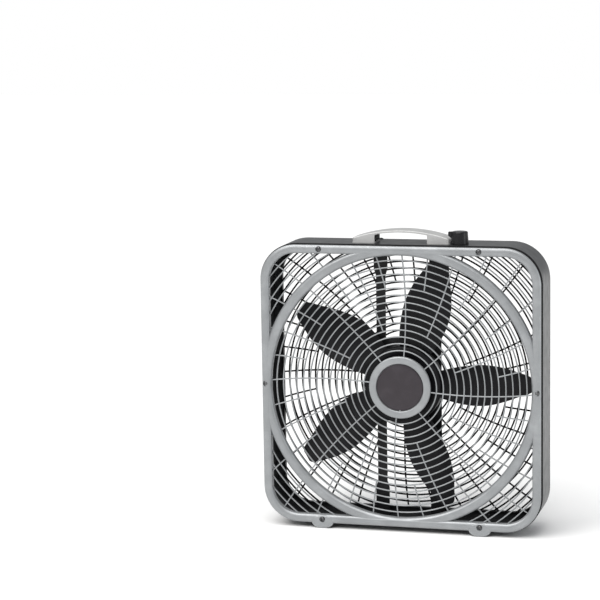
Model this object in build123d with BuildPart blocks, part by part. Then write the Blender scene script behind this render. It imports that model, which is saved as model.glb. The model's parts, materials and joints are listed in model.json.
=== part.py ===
from build123d import *
import os
from math import sin, cos, radians, hypot, sqrt

os.makedirs("parts", exist_ok=True)

# 20 inch box fan. Millimetres, +Z up, the grille that the air leaves by faces -Y.
# The origin is on the standing surface, under the middle of the fan.

# ------------------------------------------------------------ driving dimensions
HOUSING = 527.0                     # outside width and height of the square housing
CORNER_R = 69.0                     # outside corner radius of the housing
FOOT_H = 8.0                        # how far the feet hold the housing off the floor
ZC = FOOT_H + HOUSING / 2           # height of the fan axis
TOP = FOOT_H + HOUSING              # top of the housing
HALF = HOUSING / 2
DEPTH = 108.0                       # overall depth over both grilles

SHELL_F, SHELL_B = -48.0, 48.0      # front and back faces of the steel shell
WALL = 1.0                          # sheet thickness
BEND = 4.0                          # outer radius of the bend into the front flange
FLANGE_OPEN = 249.0                 # half of the opening that the shell's flanges leave

BEZEL_OUT, BEZEL_IN = 262.0, 246.0  # half sizes of the grille bezels
BEZEL_R = 67.5
BEZEL_D = 5.5                       # how far a bezel stands proud of the shell
SKIRT_OUT = 248.4                   # locating skirt that drops inside the flange
SKIRT_D = 8.0
SCREW_OFF = 254.5                   # grille screws, from the axis
SCREW_SIDE = 149.0
SCREW_SEAT = 2.8                    # screw seats, proud of the shell

RIB_W = 2.4                         # rib width of the front grille
REAR_RIB_W = 3.2                    # and of the rear grille
RIB_D = 3.0                         # rib depth
NET_F = -44.5                       # front face of the front ribs
NET_B = -41.5
RING_PITCH = 12.85
RING_0 = 68.5
RINGS = 14
CORNER_RINGS = (278.0, 291.0, 304.0, 317.0)
REAR_RINGS = (253.0, 266.0, 279.0, 292.0, 305.0, 318.0)
SWIRL = 0.0335                      # degrees that a spoke turns for each mm of radius
SPOKE_0 = 80.5                      # angle of the first main spoke at the axis

RING_IN, RING_OUT = 244.5, 264.0    # bold round ring moulded into the front grille
RING_F = -52.5                      # its crest

HUB_R = 58.0                        # medallion in the middle of the front grille
BADGE_R = 44.0

BLADES = 5
BLADE_PHASE = 1.0                   # angle of the first blade
DRUM_R = 73.0                       # blade hub
DRUM_F, DRUM_B = -24.0, 5.0
BLADE_Y = -5.0                      # mid plane of the blades
BLADE_T = 2.4

SHAFT_R = 4.0
MOTOR_R = 43.0
MOTOR_F, MOTOR_B = 9.0, 39.3
STACK_F, STACK_B = 16.5, 31.5

STRAP_X = 52.8                      # motor straps, centre lines
STRAP_W, STRAP_FLARE = 18.0, 26.0
STRAP_F, STRAP_B = 33.0, 35.0

HANDLE_L, HANDLE_R = -92.0, 90.5    # handle ends
HANDLE_F, HANDLE_B = -25.0, 19.0
HANDLE_RISE = 24.5
LEG = 42.0

KNOB_X, KNOB_Y = 108.0, -17.0
KNOB_R = 16.0
KNOB_H = 24.0
POINTER_R = 21.2                    # reach of the knob's pointer, and the way it points when the fan is off
POINTER_DIR = (cos(radians(190)), sin(radians(190)), 0)
POINTER_SIDE = (sin(radians(190)), -cos(radians(190)), 0)

GROMMET_X, GROMMET_Y = -178.0, 22.0 # cord entry in the bottom wall, at the left and to the back

FAN_AXIS = Axis((0, 0, ZC), (0, 1, 0))


def across(y):
    """Plane across the fan at depth y, origin on the fan axis; it faces the front."""
    return Plane(origin=(0, y, ZC), x_dir=(1, 0, 0), z_dir=(0, -1, 0))


AXIAL = Plane(origin=(0, 0, ZC), x_dir=(1, 0, 0), z_dir=(0, 0, 1))  # radius along x, depth along y


def finish(part, name):
    part.label = name
    export_step(part, f"parts/{name}.step")


# ------------------------------------------------------------ shell
FRONT_SCREWS = [(-SCREW_SIDE, SCREW_OFF), (SCREW_SIDE, SCREW_OFF),
                (-SCREW_SIDE, -SCREW_OFF), (SCREW_SIDE, -SCREW_OFF),
                (-SCREW_OFF, 0), (SCREW_OFF, 0)]
HANDLE_SCREWS = [(-70.0, -3.0), (68.5, -3.0)]
STRAP_SCREW_Y = 41.0

# the space inside the sheet, rounded where the sheet bends into the front flange
with BuildPart() as cavity:
    with BuildSketch(across(SHELL_B - WALL)):
        RectangleRounded(HOUSING - 2 * WALL, HOUSING - 2 * WALL, CORNER_R - WALL)
    extrude(amount=SHELL_B - SHELL_F - 2 * WALL)
    fillet(cavity.faces().filter_by(Axis.Y).sort_by(Axis.Y)[0].edges(), radius=BEND - WALL)

with BuildPart() as housing_shell:
    with BuildSketch(across(SHELL_B)):
        RectangleRounded(HOUSING, HOUSING, CORNER_R)
    extrude(amount=SHELL_B - SHELL_F)
    rims = housing_shell.faces().filter_by(Axis.Y).sort_by(Axis.Y)
    fillet(rims[0].edges(), radius=BEND)
    fillet(rims[-1].edges(), radius=2.0)
    add(cavity.part, mode=Mode.SUBTRACT)
    with BuildSketch(across(SHELL_B + 2)):
        RectangleRounded(2 * FLANGE_OPEN, 2 * FLANGE_OPEN, CORNER_R - (HALF - FLANGE_OPEN))
    extrude(amount=SHELL_B - SHELL_F + 4, mode=Mode.SUBTRACT)
    # screw holes in both flanges
    with BuildSketch(across(SHELL_F + 3)):
        with Locations(*FRONT_SCREWS):
            Circle(2.1)
    extrude(amount=5, mode=Mode.SUBTRACT)
    with BuildSketch(across(SHELL_B + 3)):
        with Locations(*FRONT_SCREWS):
            Circle(2.1)
    extrude(amount=5, mode=Mode.SUBTRACT)
    # top: switch neck, handle screws and strap screws
    with BuildSketch(Plane.XY.offset(TOP - 4)):
        with Locations((KNOB_X, KNOB_Y)):
            Circle(4.9)
        with Locations(*HANDLE_SCREWS):
            Circle(2.2)
        with Locations((-STRAP_X, STRAP_SCREW_Y), (STRAP_X, STRAP_SCREW_Y)):
            Circle(2.2)
    extrude(amount=6, mode=Mode.SUBTRACT)
    # bottom: strap screws
    with BuildSketch(Plane.XY.offset(FOOT_H - 2)):
        with Locations((-STRAP_X, STRAP_SCREW_Y), (STRAP_X, STRAP_SCREW_Y)):
            Circle(2.2)
    extrude(amount=6, mode=Mode.SUBTRACT)
    # bottom: cord entry
    with BuildSketch(Plane.XY.offset(FOOT_H - 2)):
        with Locations((GROMMET_X, GROMMET_Y)):
            Circle(6.5)
    extrude(amount=6, mode=Mode.SUBTRACT)
finish(housing_shell.part, "housing_shell")


# ------------------------------------------------------------ grilles
def spoke_face(r0, r1, start, width):
    """A thin strip whose angle grows with its radius; its two sides are arcs."""
    left, right = [], []
    for r in (r0, (r0 + r1) / 2, r1):
        a = radians(start + SWIRL * r)
        da = radians(SWIRL)
        tx, ty = cos(a) - r * sin(a) * da, sin(a) + r * cos(a) * da
        length = hypot(tx, ty)
        nx, ny = -ty / length, tx / length
        x, y = r * cos(a), r * sin(a)
        left.append((x + nx * width / 2, y + ny * width / 2))
        right.append((x - nx * width / 2, y - ny * width / 2))
    right.reverse()
    with BuildSketch(mode=Mode.PRIVATE) as strip:
        with BuildLine():
            ThreePointArc(*left)
            Line(left[-1], right[0])
            ThreePointArc(*right)
            Line(right[-1], left[0])
        make_face()
    return strip.sketch


def ring_radius(k):
    return RING_0 + RING_PITCH * k


def spokes(width):
    faces = []
    for k in range(8):
        faces.append(spoke_face(50.0, 348.0, SPOKE_0 + 45 * k, width))
        faces.append(spoke_face(ring_radius(3), 348.0, SPOKE_0 + 22.5 + 45 * k, width))
    for k in range(16):
        faces.append(spoke_face(ring_radius(9), 348.0, SPOKE_0 + 11.25 + 22.5 * k, width))
    return faces


with BuildSketch() as ring_zone:
    Circle(RING_OUT - 2.0)
    Circle(RING_IN + 2.0, mode=Mode.SUBTRACT)

with BuildSketch() as front_net:
    for r in sorted([ring_radius(k) for k in range(RINGS)] + list(CORNER_RINGS), reverse=True):
        Circle(r + RIB_W / 2)
        Circle(r - RIB_W / 2, mode=Mode.SUBTRACT)
    add(spokes(RIB_W))
    RectangleRounded(2 * 247.2, 2 * 247.2, BEZEL_R - (BEZEL_OUT - 247.2), mode=Mode.INTERSECT)
    add(ring_zone.sketch, mode=Mode.SUBTRACT)

with BuildSketch() as rear_net:
    for r in sorted([ring_radius(k) for k in range(RINGS)] + list(REAR_RINGS), reverse=True):
        Circle(r + REAR_RIB_W / 2)
        Circle(r - REAR_RIB_W / 2, mode=Mode.SUBTRACT)
    add(spokes(REAR_RIB_W))
    RectangleRounded(2 * 247.2, 2 * 247.2, BEZEL_R - (BEZEL_OUT - 247.2), mode=Mode.INTERSECT)

# bezel, convex in section, its back at depth 0 and its crest towards the front
with BuildPart() as bezel_form:
    with BuildSketch(Plane.XZ):
        RectangleRounded(2 * BEZEL_OUT, 2 * BEZEL_OUT, BEZEL_R)
        RectangleRounded(2 * BEZEL_IN, 2 * BEZEL_IN, BEZEL_R - (BEZEL_OUT - BEZEL_IN), mode=Mode.SUBTRACT)
    extrude(amount=BEZEL_D)
    fillet(bezel_form.faces().filter_by(Axis.Y).sort_by(Axis.Y)[0].edges(), radius=5.2)
    with BuildSketch(Plane.XZ.offset(-SKIRT_D)):
        RectangleRounded(2 * SKIRT_OUT, 2 * SKIRT_OUT, BEZEL_R - (BEZEL_OUT - SKIRT_OUT))
        RectangleRounded(2 * BEZEL_IN, 2 * BEZEL_IN, BEZEL_R - (BEZEL_OUT - BEZEL_IN), mode=Mode.SUBTRACT)
    extrude(amount=SKIRT_D + 1.0)

# foot: a rounded lobe on the bezel with a pad that reaches back under the shell
with BuildPart() as foot_form:
    with BuildSketch(Plane.XZ):
        with Locations((0, 12.0 - ZC)):
            Ellipse(21.0, 12.7)
        with Locations((0, -ZC - 10)):
            Rectangle(60, 20, mode=Mode.SUBTRACT)
    extrude(amount=DEPTH / 2 + SHELL_F)
    fillet(foot_form.faces().filter_by(Axis.Y).sort_by(Axis.Y)[0].edges(), radius=2.6)
    with BuildSketch(Plane.XZ.offset(-11.0)):
        with Locations((0, FOOT_H / 2 - ZC)):
            Rectangle(18.0, FOOT_H)
    extrude(amount=13.0)

with BuildPart() as ring_form:
    with BuildSketch(AXIAL) as ring_section:
        with Locations(((RING_IN + RING_OUT) / 2, (RING_F + NET_B) / 2)):
            Rectangle(RING_OUT - RING_IN, NET_B - RING_F)
        fillet(ring_section.vertices().group_by(Axis.Y)[0], radius=7.0)
    revolve(axis=FAN_AXIS)
    with BuildSketch(AXIAL):
        with Locations(((RING_IN + RING_OUT) / 2, (RING_F + 4.0 + NET_B + 2) / 2)):
            Rectangle(RING_OUT - RING_IN - 6.8, NET_B + 2 - RING_F - 4.0)
    revolve(axis=FAN_AXIS, mode=Mode.SUBTRACT)
    with BuildSketch(across(NET_B + 5)):
        RectangleRounded(2 * 247.6, 2 * 247.6, BEZEL_R - (BEZEL_OUT - 247.6))
    extrude(amount=30, mode=Mode.INTERSECT)

# medallion with a raised rim and a shallow pocket for the badge
with BuildPart() as hub_form:
    with BuildSketch(AXIAL):
        with BuildLine():
            Polyline((0, NET_B), (HUB_R, NET_B), (HUB_R, NET_F - 0.6))
            Spline((HUB_R, NET_F - 0.6), (HUB_R - 2.6, NET_F - 3.0), (HUB_R - 6.4, NET_F - 3.9))
            Polyline((HUB_R - 6.4, NET_F - 3.9), (BADGE_R + 2.6, NET_F - 3.4), (BADGE_R, NET_F - 2.2),
                     (BADGE_R, NET_F + 0.4), (0, NET_F + 0.4), (0, NET_B))
        make_face()
    revolve(axis=FAN_AXIS)

with BuildPart() as front_grille:
    add(Location((0, SHELL_F, ZC)) * bezel_form.part)
    add([Location((-SCREW_SIDE, SHELL_F, ZC)) * foot_form.part,
         Location((SCREW_SIDE, SHELL_F, ZC)) * foot_form.part])
    add(ring_form.part)
    add(hub_form.part)
    add(Plane(origin=(0, NET_B, ZC), x_dir=(1, 0, 0), z_dir=(0, -1, 0)) * extrude(front_net.sketch, amount=RIB_D, mode=Mode.PRIVATE))
    with BuildSketch(across(SHELL_F - SCREW_SEAT)):
        with Locations(*FRONT_SCREWS):
            Circle(5.6)
    extrude(amount=6, mode=Mode.SUBTRACT)
    with BuildSketch(across(SHELL_F + 1.0)):
        with Locations(*FRONT_SCREWS):
            Circle(2.1)
    extrude(amount=8, mode=Mode.SUBTRACT)
finish(front_grille.part, "front_grille")

with BuildPart() as hub_badge:
    with BuildSketch(AXIAL):
        with BuildLine():
            Line((0, NET_F + 0.4), (BADGE_R - 0.2, NET_F + 0.4))
            Line((BADGE_R - 0.2, NET_F + 0.4), (BADGE_R - 0.2, NET_F - 1.2))
            ThreePointArc((BADGE_R - 0.2, NET_F - 1.2), (BADGE_R / 2, NET_F - 2.4), (0, NET_F - 2.8))
            Line((0, NET_F - 2.8), (0, NET_F + 0.4))
        make_face()
    revolve(axis=FAN_AXIS)
    with BuildSketch(across(NET_F + 1)):
        with Locations((0, -BADGE_R + 0.2)):
            Circle(1.6)
    extrude(amount=8, mode=Mode.SUBTRACT)
finish(hub_badge.part, "hub_badge")

with BuildPart() as rear_grille:
    add(Location((0, SHELL_B, ZC)) * bezel_form.part.mirror(Plane.XZ))
    add([Location((-SCREW_SIDE, SHELL_B, ZC)) * foot_form.part.mirror(Plane.XZ),
         Location((SCREW_SIDE, SHELL_B, ZC)) * foot_form.part.mirror(Plane.XZ)])
    add(Plane(origin=(0, -NET_F, ZC), x_dir=(1, 0, 0), z_dir=(0, -1, 0)) * extrude(rear_net.sketch, amount=RIB_D, mode=Mode.PRIVATE))
    with BuildSketch(AXIAL):
        with BuildLine():
            Polyline((0, -NET_B), (52.0, -NET_B), (52.0, -NET_F), (50.0, -NET_F + 1.6), (0, -NET_F + 1.6), (0, -NET_B))
        make_face()
    revolve(axis=FAN_AXIS)
    with BuildSketch(across(SHELL_B + SCREW_SEAT + 6)):
        with Locations(*FRONT_SCREWS):
            Circle(5.6)
    extrude(amount=6, mode=Mode.SUBTRACT)
    with BuildSketch(across(SHELL_B + 7)):
        with Locations(*FRONT_SCREWS):
            Circle(2.1)
    extrude(amount=8, mode=Mode.SUBTRACT)
finish(rear_grille.part, "rear_grille")

# pan head screw, head towards the front, seat at depth 0
with BuildPart() as grille_screw:
    with BuildSketch(Plane.XY) as screw_section:
        with BuildLine():
            Polyline((0, 9.0), (1.95, 8.0), (1.95, 0), (3.8, 0), (3.8, -1.1))
            ThreePointArc((3.8, -1.1), (2.8, -1.95), (0, -2.4))
            Line((0, -2.4), (0, 9.0))
        make_face()
    revolve(axis=Axis.Y)
    with BuildSketch(Plane.XZ.offset(1.4)):
        Rectangle(4.4, 1.0)
        Rectangle(1.0, 4.4)
    extrude(amount=3, mode=Mode.SUBTRACT)

with BuildPart() as front_grille_screws:
    add([Location((x, SHELL_F - SCREW_SEAT, ZC + z)) * grille_screw.part for x, z in FRONT_SCREWS])
finish(front_grille_screws.part, "front_grille_screws")

with BuildPart() as rear_grille_screws:
    add([Location((x, SHELL_B + SCREW_SEAT, ZC + z)) * grille_screw.part.mirror(Plane.XZ) for x, z in FRONT_SCREWS])
finish(rear_grille_screws.part, "rear_grille_screws")

# ------------------------------------------------------------ motor straps
STRAP_TOP = HALF - WALL             # the feet of the straps bear on the inside of the shell

with BuildPart() as strap_form:
    with BuildSketch(Plane.XZ.offset(-STRAP_B)):
        Rectangle(STRAP_W, 2 * STRAP_TOP)
        for side in (-1, 1):
            with BuildLine():
                Polyline((-STRAP_W / 2, side * 196), (-STRAP_FLARE / 2, side * 208),
                         (-STRAP_FLARE / 2, side * STRAP_TOP), (STRAP_FLARE / 2, side * STRAP_TOP),
                         (STRAP_FLARE / 2, side * 208), (STRAP_W / 2, side * 196), close=True)
            make_face()
    extrude(amount=STRAP_B - STRAP_F)
    for side in (-1, 1):
        with BuildSketch(Plane.XY.offset(side * STRAP_TOP)):
            with Locations((0, (STRAP_F + 46.5) / 2)):
                Rectangle(STRAP_FLARE, 46.5 - STRAP_F)
        extrude(amount=-side * 2.0)
    with BuildSketch(Plane.XY.offset(-STRAP_TOP - 1)):
        with Locations((0, STRAP_SCREW_Y)):
            Circle(2.2)
    extrude(amount=2 * STRAP_TOP + 2, mode=Mode.SUBTRACT)
    with BuildSketch(Plane.XZ.offset(-STRAP_B - 1)):
        with Locations((0, 22), (0, -22)):
            Circle(2.3)
    extrude(amount=6, mode=Mode.SUBTRACT)

with BuildPart() as motor_strap_left:
    add(Location((-STRAP_X, 0, ZC)) * strap_form.part)
finish(motor_strap_left.part, "motor_strap_left")
with BuildPart() as motor_strap_right:
    add(Location((STRAP_X, 0, ZC)) * strap_form.part)
finish(motor_strap_right.part, "motor_strap_right")

# screw with its seat at z = 0 and its head above
with BuildPart() as short_screw:
    with BuildSketch(Plane.XZ):
        with BuildLine():
            Polyline((0, -9.0), (2.1, -8.0), (2.1, 0), (4.2, 0), (4.2, 1.0))
            ThreePointArc((4.2, 1.0), (3.0, 1.8), (0, 2.2))
            Line((0, 2.2), (0, -9.0))
        make_face()
    revolve(axis=Axis.Z)
    with BuildSketch(Plane.XY.offset(1.2)):
        Rectangle(4.2, 1.0)
        Rectangle(1.0, 4.2)
    extrude(amount=3, mode=Mode.SUBTRACT)

with BuildPart() as strap_screws:
    add([Location((x, STRAP_SCREW_Y, TOP)) * short_screw.part for x in (-STRAP_X, STRAP_X)])
    add([Location((x, STRAP_SCREW_Y, FOOT_H), (180, 0, 0)) * short_screw.part for x in (-STRAP_X, STRAP_X)])
finish(strap_screws.part, "strap_screws")

# ------------------------------------------------------------ motor, fixed parts
BOLTS = [(37.5 * cos(radians(a)), 37.5 * sin(radians(a))) for a in (45, 135, 225, 315)]
MOTOR_SPLIT = 24.0
PLATE_H = 158.0                     # height of the mounting plate pressed into the rear bell
CUP = 1.5

with BuildPart() as motor_front_bell:
    with BuildSketch(across(MOTOR_SPLIT)):
        Circle(MOTOR_R)
    extrude(amount=MOTOR_SPLIT - MOTOR_F)
    fillet(motor_front_bell.faces().filter_by(Axis.Y).sort_by(Axis.Y)[0].edges(), radius=2.0)
    with BuildSketch(across(MOTOR_SPLIT)):
        Circle(MOTOR_R - CUP)
    extrude(amount=MOTOR_SPLIT - MOTOR_F - CUP, mode=Mode.SUBTRACT)
    with BuildSketch(across(STACK_F - 0.5)):
        Circle(11.0)
    extrude(amount=STACK_F - 0.5 - MOTOR_F)
    with BuildSketch(across(STACK_F + 1)):
        Circle(8.0)
    extrude(amount=20, mode=Mode.SUBTRACT)
    with BuildSketch(across(MOTOR_F + 3)):
        with PolarLocations(23.0, 8, start_angle=22.5):
            SlotOverall(15.0, 5.0)
        with Locations(*BOLTS):
            Circle(1.7)
    extrude(amount=6, mode=Mode.SUBTRACT)
finish(motor_front_bell.part, "motor_front_bell")

with BuildPart() as motor_rear_bell:
    with BuildSketch(across(MOTOR_B)):
        Circle(MOTOR_R)
    extrude(amount=MOTOR_B - MOTOR_SPLIT)
    fillet(motor_rear_bell.faces().filter_by(Axis.Y).sort_by(Axis.Y)[-1].edges(), radius=2.0)
    with BuildSketch(across(STRAP_F)):
        RectangleRounded(2 * (STRAP_X + 8.2), PLATE_H, 14.0)
    extrude(amount=2.0)
    with BuildSketch(across(MOTOR_B - CUP)):
        Circle(MOTOR_R - CUP)
    extrude(amount=MOTOR_B - CUP - MOTOR_SPLIT, mode=Mode.SUBTRACT)
    with BuildSketch(across(MOTOR_B)):
        Circle(11.0)
    extrude(amount=MOTOR_B - 32.0)
    with BuildSketch(across(MOTOR_B + 1)):
        Circle(8.0)
    extrude(amount=20, mode=Mode.SUBTRACT)
    with BuildSketch(across(MOTOR_B + 3)):
        with PolarLocations(23.0, 8, start_angle=22.5):
            SlotOverall(15.0, 5.0)
        with Locations(*BOLTS):
            Circle(1.7)
    extrude(amount=6, mode=Mode.SUBTRACT)
    with BuildSketch(across(STRAP_F + 1)):
        with Locations(*[(x, z) for x in (-STRAP_X, STRAP_X) for z in (-22, 22)]):
            Circle(2.3)
    extrude(amount=5, mode=Mode.SUBTRACT)
finish(motor_rear_bell.part, "motor_rear_bell")

with BuildPart() as motor_stator:
    with BuildSketch(across(STACK_B)):
        Circle(MOTOR_R - CUP)
        Circle(33.0, mode=Mode.SUBTRACT)
        with PolarLocations(28.5, 4):
            Rectangle(11.0, 14.0)
        with BuildSketch(mode=Mode.PRIVATE) as shoes:
            Circle(26.0)
            Circle(22.4, mode=Mode.SUBTRACT)
            with PolarLocations(28.0, 4, start_angle=45):
                Rectangle(20.0, 5.0, mode=Mode.SUBTRACT)
        add(shoes.sketch)
        Circle(22.4, mode=Mode.SUBTRACT)
        with Locations(*BOLTS):
            Circle(1.7, mode=Mode.SUBTRACT)
    extrude(amount=STACK_B - STACK_F)
finish(motor_stator.part, "motor_stator")

# one coil round each of the four poles
with BuildPart() as coil_form:
    with BuildSketch(Plane(origin=(26.3, (STACK_F + STACK_B) / 2, 0), x_dir=(0, 0, 1), z_dir=(1, 0, 0))):
        RectangleRounded(23.0, STACK_B - STACK_F + 9.0, 4.0)
        Rectangle(14.2, STACK_B - STACK_F + 0.2, mode=Mode.SUBTRACT)
    extrude(amount=4.3)
with BuildPart() as motor_windings:
    add([(Location((0, 0, ZC)) * coil_form.part).rotate(FAN_AXIS, 90 * k) for k in range(4)])
finish(motor_windings.part, "motor_windings")

with BuildPart() as front_bearing:
    with BuildSketch(across(STACK_F - 0.5)):
        Circle(8.0)
        Circle(SHAFT_R + 0.04, mode=Mode.SUBTRACT)
    extrude(amount=STACK_F - 0.5 - MOTOR_F)
    chamfer(front_bearing.edges().filter_by(GeomType.CIRCLE).filter_by(lambda e: e.radius < 5), length=0.5)
finish(front_bearing.part, "front_bearing")
with BuildPart() as rear_bearing:
    with BuildSketch(across(MOTOR_B)):
        Circle(8.0)
        Circle(SHAFT_R + 0.04, mode=Mode.SUBTRACT)
    extrude(amount=MOTOR_B - 32.0)
    chamfer(rear_bearing.edges().filter_by(GeomType.CIRCLE).filter_by(lambda e: e.radius < 5), length=0.5)
finish(rear_bearing.part, "rear_bearing")

with BuildPart() as through_bolt:
    with BuildSketch(Plane.XZ.offset(-(MOTOR_B + 1.7))):
        Circle(1.6)
    extrude(amount=MOTOR_B + 1.7 - MOTOR_F + 1.8)
    with BuildSketch(Plane.XZ.offset(-MOTOR_F)):
        Circle(3.0)
    extrude(amount=1.8)
    with BuildSketch(Plane.XZ.offset(-(MOTOR_B + 1.5))):
        RegularPolygon(2.8, 6, major_radius=False)
    extrude(amount=1.5)
with BuildPart() as motor_through_bolts:
    add([Location((x, 0, ZC + z)) * through_bolt.part for x, z in BOLTS])
finish(motor_through_bolts.part, "motor_through_bolts")

MOUNTS = [(x, z) for x in (-STRAP_X, STRAP_X) for z in (-22, 22)]
with BuildPart() as mount_screw:
    with BuildSketch(Plane.XZ.offset(-39.6)):
        Circle(2.2)
    extrude(amount=39.6 - 31.0)
    with BuildSketch(Plane.XZ.offset(-31.0)):
        Circle(4.2)
    extrude(amount=2.4)
    fillet(mount_screw.faces().filter_by(Axis.Y).sort_by(Axis.Y)[0].edges(), radius=1.2)
with BuildPart() as motor_mount_screws:
    add([Location((x, 0, ZC + z)) * mount_screw.part for x, z in MOUNTS])
finish(motor_mount_screws.part, "motor_mount_screws")
with BuildPart() as motor_mount_nuts:
    with BuildSketch(across(STRAP_B + 3.2)):
        with Locations(*MOUNTS):
            RegularPolygon(4.0, 6, major_radius=False)
            Circle(2.25, mode=Mode.SUBTRACT)
    extrude(amount=3.2)
finish(motor_mount_nuts.part, "motor_mount_nuts")

# ------------------------------------------------------------ turning parts
with BuildPart() as motor_shaft:
    with BuildSketch(across(38.8)):
        Circle(SHAFT_R)
    extrude(amount=38.8 + 31.0)
    chamfer(motor_shaft.faces().filter_by(Axis.Y).sort_by(Axis.Y)[0].edges(), length=0.6)
    # flat that drives the blade
    with BuildSketch(across(-2.0)):
        with Locations((0, SHAFT_R + 1.2)):
            Rectangle(10, 4.0)
    extrude(amount=22.0, mode=Mode.SUBTRACT)
finish(motor_shaft.part, "motor_shaft")

with BuildPart() as rotor_core:
    with BuildSketch(across(31.0)):
        Circle(22.0)
        Circle(SHAFT_R, mode=Mode.SUBTRACT)
        with PolarLocations(19.5, 24):
            Circle(1.1, mode=Mode.SUBTRACT)
    extrude(amount=14.0)
finish(rotor_core.part, "rotor_core")

with BuildPart() as rotor_cage:
    for y in (17.0, 33.5):
        with BuildSketch(across(y)):
            Circle(21.6)
            Circle(14.5, mode=Mode.SUBTRACT)
        extrude(amount=2.5)
    with BuildSketch(across(31.0)):
        with PolarLocations(19.5, 24):
            Circle(1.1)
    extrude(amount=14.0)
finish(rotor_cage.part, "rotor_cage")

with BuildPart() as thrust_washers:
    for y in (17.0, 31.65):
        with BuildSketch(across(y)):
            Circle(7.6)
            Circle(SHAFT_R, mode=Mode.SUBTRACT)
        extrude(amount=0.65)
finish(thrust_washers.part, "thrust_washers")

# half chords behind and ahead, half rise, camber, at each distance along the blade
SECTIONS = [
    (56.0, 26.0, 23.0, 13.0, 4.0),
    (90.0, 37.5, 33.0, 17.0, 6.0),
    (124.0, 43.0, 38.8, 18.0, 6.5),
    (156.0, 41.5, 40.2, 16.5, 6.0),
    (190.0, 31.8, 34.6, 12.5, 4.5),
    (214.0, 22.4, 26.4, 9.0, 3.0),
    (229.0, 17.4, 21.2, 6.8, 2.0),
    (236.5, 13.6, 17.2, 5.4, 1.3),
    (240.0, 9.0, 12.4, 4.0, 0.9),
]

with BuildPart() as blade_form:
    for rho, back, ahead, rise, camber in SECTIONS:
        slope = 2 * rise / (back + ahead)
        half_t = BLADE_T / 2 * sqrt(1 + slope * slope)
        mid = (ahead - back) / 2
        with BuildSketch(Plane(origin=(rho, BLADE_Y, ZC), x_dir=(0, 0, 1), z_dir=(1, 0, 0))):
            with BuildLine():
                ThreePointArc((-back, -rise + half_t), (mid, -camber + half_t), (ahead, rise + half_t))
                Line((ahead, rise + half_t), (ahead, rise - half_t))
                ThreePointArc((ahead, rise - half_t), (mid, -camber - half_t), (-back, -rise - half_t))
                Line((-back, -rise - half_t), (-back, -rise + half_t))
            make_face()
    loft()

with BuildPart() as fan_blade:
    with BuildSketch(across(DRUM_B)):
        Circle(DRUM_R)
    extrude(amount=DRUM_B - DRUM_F)
    fillet(fan_blade.faces().filter_by(Axis.Y).sort_by(Axis.Y)[0].edges(), radius=5.0)
    add([blade_form.part.rotate(FAN_AXIS, -(BLADE_PHASE + 360 / BLADES * k)) for k in range(BLADES)])
    # the blades stop at the hub's rim behind it
    with BuildSketch(across(DRUM_B + 12)):
        Circle(DRUM_R - 3.2)
    extrude(amount=12.0, mode=Mode.SUBTRACT)
    # hollow back of the hub, with its boss and ribs left standing
    with BuildSketch(across(DRUM_B + 1)):
        Circle(DRUM_R - 3.2)
        Circle(12.0, mode=Mode.SUBTRACT)
        with PolarLocations(41.0, 10):
            Rectangle(62.0, 2.2, mode=Mode.SUBTRACT)
    extrude(amount=DRUM_B + 1 - DRUM_F - 3.6, mode=Mode.SUBTRACT)
    # D bore
    with BuildSketch(across(DRUM_B + 1)):
        Circle(SHAFT_R)
    extrude(amount=8.0, mode=Mode.SUBTRACT)
    with BuildSketch(across(-2.0)):
        Circle(SHAFT_R)
        with Locations((0, SHAFT_R + 1.2)):
            Rectangle(10, 4.0, mode=Mode.SUBTRACT)
    extrude(amount=24.0, mode=Mode.SUBTRACT)
finish(fan_blade.part, "fan_blade")

with BuildPart() as blade_washer:
    with BuildSketch(across(DRUM_F)):
        Circle(9.0)
        Circle(SHAFT_R + 0.1, mode=Mode.SUBTRACT)
    extrude(amount=1.2)
finish(blade_washer.part, "blade_washer")

with BuildPart() as blade_nut:
    with BuildSketch(across(DRUM_F - 1.2)):
        RegularPolygon(6.5, 6, major_radius=False)
        Circle(SHAFT_R + 0.02, mode=Mode.SUBTRACT)
    extrude(amount=6.0)
    chamfer(blade_nut.faces().filter_by(Axis.Y).sort_by(Axis.Y)[0].edges().filter_by(GeomType.LINE), length=0.7)
finish(blade_nut.part, "blade_nut")

# ------------------------------------------------------------ handle
HC = (HANDLE_L + HANDLE_R) / 2
HL = (HANDLE_R - HANDLE_L) / 2
ARCH_END = 9.5                      # height of the arch where it runs into its ends
ARCH_T = 4.0
INNER = HL - LEG

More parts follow.
